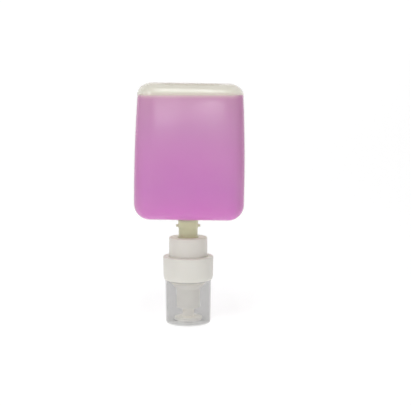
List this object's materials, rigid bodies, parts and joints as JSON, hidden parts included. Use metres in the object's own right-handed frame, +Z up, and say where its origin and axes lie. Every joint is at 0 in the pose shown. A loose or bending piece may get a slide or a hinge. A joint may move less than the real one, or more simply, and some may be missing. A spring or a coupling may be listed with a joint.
{
  "type": "hand soap refill pack",
  "caption": "Sealed foaming hand soap refill: a soft translucent bottle of pink soap, base up, on a spring-return foam pump with a frosted dust cap it stands on.",
  "frame": {"origin": "where the pump's axis meets the ground, at the centre of the dust cap's foot", "axes": "+Z up along the pump's axis towards the bottle's upturned base, +X along the bottle's width, -Y out of its broad front face"},
  "size_m": [0.1097, 0.084, 0.2429],
  "materials": {
    "natural_bottle": "milky natural polyethylene, soft gloss",
    "pink_soap": "translucent pink liquid",
    "white_plastic": "satin white polypropylene",
    "elastomer": "matt off-white elastomer",
    "spring_steel": "drawn stainless wire",
    "nylon_mesh": "fine woven nylon",
    "frosted_cap": "frosted clear polypropylene"
  },
  "bodies": {
    "pack": {"bottle": "natural_bottle", "soap": "pink_soap", "closure": "white_plastic", "lower_collar": "white_plastic", "neck_gasket": "elastomer", "liquid_cylinder": "white_plastic", "inlet_valve": "elastomer", "air_cylinder": "white_plastic", "stem_wiper": "elastomer", "return_spring": "spring_steel"},
    "plunger": {"stem": "white_plastic", "liquid_piston": "white_plastic", "outlet_valve": "elastomer", "air_piston": "white_plastic", "air_valve": "elastomer", "mixing_sleeve": "white_plastic", "upper_screen": "nylon_mesh", "lower_screen": "nylon_mesh", "push_flange": "white_plastic"},
    "cap": {"dust_cap": "frosted_cap"}
  },
  "joints": [
    {"name": "pump_stroke", "type": "slide", "parent": "pack", "child": "plunger", "axis": [0, 0, 1], "range_m": [0, 0.0095], "stiffness_N_per_m": 400, "springref_m": -0.015, "deforming": ["return_spring"]},
    {"name": "lift_off_cap", "type": "slide", "parent": "cap", "child": "pack", "axis": [0, 0, 1], "range_m": [0, 0.065]}
  ]
}
